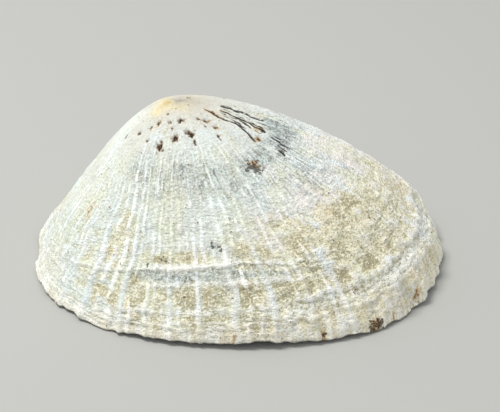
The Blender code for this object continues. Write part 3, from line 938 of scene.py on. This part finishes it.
# %% Beige and brown in the young shell
MOST_GOLD = 1.1
open_cell = 1.1 - 0.9 * crest_wire - 0.45 * lip_wire - 0.35 * riblet_wire
cell_wire = chalk.mask("cell")
gold_wire = chalk.mask("gold") + 0.5 * cell_wire
gold_wire = gold_wire.maths("MINIMUM", gold_wire, MOST_GOLD)
gold_field = broken(gold_wire * open_cell, mottle=0.55) + 0.25 * dip_wire
gold_amount = chalk.step(broken(gold_field, clots=0.4, flakes=0.3, blocks=1.5), 0.18, 0.80)
chalk.coat((223, 216, 182), gold_amount * 0.9)
ochre = chalk.step(broken(mottle, clots=0.6), 0.54, 0.70) * gold_amount
chalk.coat((218, 196, 158), ochre * 0.60)
cell_amount = chalk.step(broken(cell_wire * open_cell, clots=0.5, crumbs=0.5), 0.16, 0.55)
chalk.coat((206, 192, 142), cell_amount * 0.9)
brown_field = broken(gold_field * 0.16 + crumbs * 0.6 + flakes * 0.4, blocks=0.45)
brown_field = brown_field + 0.21 * cell_amount
brown_amount = chalk.step(broken(brown_field, clots=0.3), 0.66, 0.80)
chalk.coat((158, 146, 106), brown_amount * gold_amount * 0.85)

# %% [markdown]
# ### Blue-grey bands
#
# Where the white layer is worn thin, a blue-grey one shows through: in a wide band below the top,
# and under each strong ledge. The band is streaky, because the white breaks off along the ribs, and
# dark hairs run down in it. Just under each strong ledge a darker grey is painted shade with some
# dirt, and the thin grey line below each faint growth line is painted shade.

# %% Blue-grey bands, and painted shade under the growth lines
slate_field = broken(chalk.mask("slate"), streaks=1.0, clots=0.4) + 0.12 * dip_wire
slate_field = broken(slate_field, blocks=0.9, crumbs=0.5)
slate_amount = chalk.step(slate_field, 0.22, 0.95)
chalk.coat((178, 196, 200), slate_amount * 0.72)
slate_hair = slate_field * 0.16 + hairs * 0.40 + crumbs * 0.40 + clots * 0.30
chalk.coat((84, 92, 96), chalk.step(slate_hair, 0.63, 0.76) * slate_amount * 0.9)
# painted shade, with some dirt: a darker grey just under each strong ledge
chalk.coat((132, 144, 146), chalk.step(broken(chalk.mask("under"), crumbs=0.9), 0.25, 0.9) * 0.8)
# painted shade: a thin grey line just below each faint growth line
chalk.coat((168, 168, 152), chalk.step(broken(chalk.mask("shade"), crumbs=0.8), 0.15, 0.8) * 0.6)

# %% [markdown]
# ### Pale shell and fine scratches
#
# Some cells took no stain and stay a pale blue-grey. Below the top, the sea has drawn fine dark
# scratches down the slope: they are the thin noise along the spokes, let through by a mask.

# %% Pale shell and fine scratches
pale_field = broken(chalk.mask("pale"), clots=0.7, crumbs=0.5, blocks=0.7)
chalk.coat((210, 216, 218), chalk.step(pale_field, 0.20, 0.85) * 0.7)
scratch_wire = chalk.mask("scratch")
scratch_field = hairs * 0.65 + crumbs * 0.35 + 0.08 * scratch_wire
chalk.coat((116, 122, 124), chalk.step(scratch_field, 0.54, 0.63) * scratch_wire * 0.6)

# %% [markdown]
# ### The yellowed cap
#
# The top is the oldest shell, polished and stained. A warm grey covers all of it, and two yellows
# lie over that, the deeper one only in the middle of each stain.

# %% The yellowed cap
chalk.coat((220, 212, 194), chalk.step(line_wire, 0.24, 0.05) * 0.85)
cap_field = broken(chalk.mask("cap"), clots=0.5, crumbs=0.4)
chalk.coat((238, 226, 186), chalk.step(cap_field, 0.15, 0.6) * 0.85)
chalk.coat((226, 198, 130), chalk.step(cap_field, 0.65, 1.25) * 0.8)

# %% [markdown]
# ### Riblets
#
# What stands up is rubbed white, and what lies between stays beige-grey. The riblets' own mask
# could be used as it is, but clean white stripes look painted on, so noise breaks it first.

# %% White backs and beige-grey valleys
riblet_field = broken(riblet_wire, crumbs=0.6, clots=0.7)
valley_amount = chalk.step(riblet_field, 0.34, 0.06) * chalk.mask("riblet_band")
chalk.coat((196, 199, 180), valley_amount * 0.5)
back_amount = chalk.step(riblet_field, 0.40, 0.85) * (1 - 0.7 * crest_wire)
chalk.coat((248, 250, 244), back_amount * 0.60)

# %% [markdown]
# ### Crests and lips
#
# The crests of the ribs are a cool white, greyer towards the rim, and the lips of the growth
# lines a warmer one. Anything else that stands above its surroundings is rubbed a little too.

# %% White crests and lips
white_crest = chalk.step(broken(crest_wire, clots=1.2, crumbs=0.8), 0.35, 1.0)
towards_rim = chalk.step(line_wire, 0.74, 0.86)
crest_colour = chalk.mix(srgb(232, 237, 236), srgb(206, 216, 214), towards_rim)
chalk.coat(crest_colour, white_crest * (1 - 0.5 * slate_amount) * 0.6)
white_lip = chalk.step(broken(lip_wire + 0.35 * riblet_wire, crumbs=0.9), 0.40, 0.85)
chalk.coat((250, 249, 240), white_lip * 0.68)
rubbed = chalk.step(0 - dip_wire, 0.25, 0.95) * (1 - crest_wire * 0.8) * (1 - 0.5 * sandy_wire)
chalk.coat((247, 248, 240), rubbed * 0.4)

# %% [markdown]
# ### The cream edge, partly painted light
#
# The last millimetres of growth are the youngest and least worn, and still cream. The cream coats
# are also painted light: they lighten the low rim and the band of the edge, where these turn down
# and away from the lamp. Yellow and white stripes cross them, from the high and the low values of
# the streaks.

# %% The cream edge, partly painted light
# painted light, with the real cream of young shell: the low rim is lightened where the lamp leaves it
# darker
cream_and_painted_light_rim = chalk.step(line_wire, 0.91, 0.98) * (0.30 + 0.65 * sandy_wire) * (1 - 0.9 * cell_amount)
cream_and_painted_light_rim = cream_and_painted_light_rim * chalk.step(broken(clots, flakes=0.8, blocks=0.5), 0.32, 0.58)
chalk.coat((255, 246, 214), cream_and_painted_light_rim)
# painted light, with real cream-white: the band of the edge, which faces down, is lightened
edge_cream_and_painted_light = chalk.step(broken(chalk.mask("edge"), clots=0.8, crumbs=0.5), 0.30, 0.9)
chalk.coat((253, 249, 232), edge_cream_and_painted_light * 0.85)
stripes, near_rim = broken(streaks, clots=0.3), chalk.step(line_wire, 0.93, 0.97)
yellow_stripes = chalk.step(stripes, 0.50, 0.57) * near_rim
chalk.coat((226, 212, 172), yellow_stripes * (0.25 + 0.35 * sandy_wire))
chalk.coat((252, 252, 244), chalk.step(stripes, 0.50, 0.43) * near_rim * 0.6)

# %% [markdown]
# ### Flakes
#
# Chalk comes off in thin flakes along the growth lines: some spots are fresh and bright, others
# dull. One noise, drawn out round the shell, gives both, from its high and its low values.

# %% Flakes that lie along the growth lines
polished = chalk.step(line_wire, 0.42, 0.15)
fresh = chalk.mix(srgb(252, 253, 249), srgb(250, 246, 226), gold_amount)
flake_share = 0.24 + 0.16 * sandy_wire + 0.25 * gold_amount
chalk.coat(fresh, chalk.step(flakes, 0.53, 0.66) * flake_share)
chalk.coat((170, 166, 144), chalk.step(flakes, 0.42, 0.32) * flake_share * 0.7)

# %% [markdown]
# ### Grains
#
# Seen close, the shell is a crust of white grains about a quarter of a millimetre across, with
# grey specks between them. Both fade out on the polished top.

# %% White grains and grey grains
white_grain = chalk.step(broken(grains, crumbs=0.35), 0.56, 0.66) * (1 - 0.7 * polished)
chalk.coat(fresh, white_grain * (0.42 + 0.3 * gold_amount))
grey_grain = chalk.step(broken(grains, crumbs=0.5) - 0.05 * dip_wire, 0.43, 0.33)
grey_share = 0.30 + 0.10 * sandy_wire + 0.35 * slate_amount + 0.14 * gold_amount
speck = chalk.mix(srgb(148, 152, 144), srgb(146, 138, 110), gold_amount)
chalk.coat(speck, grey_grain * grey_share * (1 - 0.7 * polished))

# %% [markdown]
# ### Rust, grit, furrows and pits
#
# The darkest things come last, because they lie deepest: rust with a dark core, single grains of
# grit that crowd together in a few places, the nearly black furrows, and the pits, which are
# brown at the edge and dark in the middle.

# %% Rust, grit, furrows and pits
rust_field = broken(chalk.mask("rust"), hairs=1.6, crumbs=1.8, clots=0.8)
chalk.coat((206, 174, 122), chalk.step(rust_field, 0.30, 0.80) * 0.75)
chalk.coat((124, 86, 46), chalk.step(rust_field, 0.62, 1.05) * 0.85)
grit_field = broken(crumbs * 0.6 + grains * 0.4, clots=0.3) + 0.02 * gold_amount
chalk.coat((60, 52, 40), chalk.step(grit_field + 0.11 * chalk.mask("soot"), 0.65, 0.70) * 0.82)
furrow_field = broken(chalk.mask("furrow"), crumbs=0.5, clots=0.3)
chalk.coat((42, 35, 31), chalk.step(furrow_field, 0.25, 0.55) * 0.92)
pit_field = broken(chalk.mask("pit"), crumbs=0.5)
chalk.coat((160, 140, 112), chalk.step(pit_field, 0.22, 0.46) * 0.65)
chalk.coat((112, 84, 60), chalk.step(pit_field, 0.42, 0.70) * 0.9)
chalk.coat((52, 38, 30), chalk.step(broken(pit_field, grains=0.5), 0.62, 0.90) * 0.92)

# %% [markdown]
# ### The hollow
#
# The inside was smooth and pearly once. It is ivory, with a grey-blue margin that keeps the rays
# of the ribs, a whiter scar, and a warm stain under the top. It could be a second material, but a
# mask keeps the two without a hard border at the rim.

# %% The hollow's layers
outer_colour = chalk.colour
chalk.colour = chalk.mix(srgb(232, 224, 204), srgb(204, 208, 206), chalk.step(line_wire, 0.62, 0.9))
rays = chalk.step(streaks, 0.5, 0.62) * chalk.step(line_wire, 0.7, 0.95)
chalk.coat((168, 158, 140), rays * 0.5)
chalk.coat((206, 176, 132), chalk.step(line_wire, 0.42, 0.1) * 0.55)
chalk.coat((242, 240, 232), chalk.mask("scar") * 0.7)
chalk.coat((150, 140, 120), chalk.step(mottle, 0.56, 0.72) * 0.25)
chalk.colour = chalk.mix(outer_colour, chalk.colour, inside_wire)

# %% [markdown]
# ### Tooth and gloss
#
# What is finer than the mesh is left to a bump of a quarter of a millimetre: crumbs, grains,
# hairs and flakes. The outside is matt, and the inside smoother, with a dull gloss.

# %% Bump, roughness and the shader
BUMP_METRES = 0.00028
tooth = 0.5 * crumbs + 0.4 * grains * (1 - 0.6 * polished) + 0.4 * hairs + 0.6 * flakes
tooth = (tooth + 0.3 * rings_noise + 0.4 * clots) * (1 - 0.9 * inside_wire)
bump = {"Strength": 1.0, "Distance": BUMP_METRES, "Height": tooth}
chalk.feed(chalk.surface.inputs["Base Color"], chalk.colour)
chalk.feed(chalk.surface.inputs["Roughness"], broken(0.82 - 0.42 * inside_wire, crumbs=0.1))
chalk.feed(chalk.surface.inputs["Normal"], chalk.node("ShaderNodeBump", None, bump))
chalk.surface.inputs["Specular IOR Level"].default_value = 0.35
mesh.materials.append(chalk.material)
print("nodes in the finish", len(chalk.tree.nodes))

# %% [markdown]
# ## Riding on the solid
#
# The piece rides on the only body and stands for the plain solid, which stays for collisions.

# %% Ride on the body
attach(shell, "root")
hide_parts("limpet_shell")

# %% [markdown]
# ## Floor
#
# The shell stands on plain pale grey paper, large enough to fill the view from every side. It is
# a flat sheet just under the rim's foot.

# %% Floor
FLOOR_HALF, FLOOR_DROP = 3.0, 0.00002
PAPER_GREY = (172, 172, 168)
floor_mesh = bpy.data.meshes.new("floor")
floor_mesh.from_pydata(
    [(x * FLOOR_HALF, y * FLOOR_HALF, -FLOOR_DROP) for x, y in ((-1, -1), (1, -1), (1, 1), (-1, 1))],
    [], [(0, 1, 2, 3)],
)
floor = bpy.data.objects.new("floor", floor_mesh)
bpy.context.scene.collection.objects.link(floor)
paper = Finish("pale_paper")
paper.surface.inputs["Base Color"].default_value = srgb(*PAPER_GREY)
paper.surface.inputs["Roughness"].default_value = 0.8
paper.surface.inputs["Specular IOR Level"].default_value = 0.2
floor_mesh.materials.append(paper.material)

# %% [markdown]
# ## Light
#
# A pale sky lights the shell evenly, and one soft square lamp, high on the left, gives the ribs
# and ledges their shadows. A larger lamp would wash the fine relief out, and a smaller one would
# cast hard shadows.

# %% Light
SKY_COLOUR, SKY_STRENGTH = (0.96, 0.98, 1.0, 1.0), 0.72
LAMP_PLACE, LAMP_AIM = (-0.17, 0.01, 0.43), (0, 0, 0.01)
LAMP_SIZE, LAMP_WATTS, LAMP_COLOUR = 0.14, 1.72, (1.0, 0.99, 0.97)

world = bpy.data.worlds.new("soft_sky")
world.use_nodes = True
sky = world.node_tree.nodes["Background"]
sky.inputs["Color"].default_value = SKY_COLOUR
sky.inputs["Strength"].default_value = SKY_STRENGTH
bpy.context.scene.world = world

lamp_data = bpy.data.lights.new("window", "AREA")
lamp_data.size, lamp_data.energy, lamp_data.color = LAMP_SIZE, LAMP_WATTS, LAMP_COLOUR
lamp = bpy.data.objects.new("window", lamp_data)
lamp.location = LAMP_PLACE
x, y, z = (a - b for a, b in zip(LAMP_AIM, LAMP_PLACE))
lamp.rotation_euler = (math.atan2(math.hypot(x, y), -z), 0, math.atan2(x, -y) + math.pi)
bpy.context.scene.collection.objects.link(lamp)

# %% [markdown]
# ## Camera
#
# The camera looks down at 29 degrees from 22 cm away, level and along +Y. Its tilt, focal length
# and centre were fitted together with the shell's outline, and are told in pixels of a picture
# 500 wide and 412 high.

# %% Camera
CAMERA_HEIGHT, CAMERA_TILT, CAMERA_AWAY = 0.008, math.radians(29.38), 0.220
FOCAL_PIXELS, CENTRE_PIXEL, IMAGE = 1742.6, (238.6, 198.9), (500, 412)
camera_data = bpy.data.cameras.new("camera")
camera_data.sensor_width = 36.0
camera_data.lens = FOCAL_PIXELS * camera_data.sensor_width / IMAGE[0]
camera_data.shift_x = (IMAGE[0] / 2 - CENTRE_PIXEL[0]) / IMAGE[0]
camera_data.shift_y = (CENTRE_PIXEL[1] - IMAGE[1] / 2) / IMAGE[0]
camera_data.clip_start = 0.005
camera = bpy.data.objects.new("camera", camera_data)
camera.location = (
    0,
    -CAMERA_AWAY * math.cos(CAMERA_TILT),
    CAMERA_HEIGHT + CAMERA_AWAY * math.sin(CAMERA_TILT),
)
camera.rotation_euler = (math.pi / 2 - CAMERA_TILT, 0, 0)
bpy.context.scene.collection.objects.link(camera)
bpy.context.scene.camera = camera
bpy.context.scene.view_settings.view_transform = "Standard"
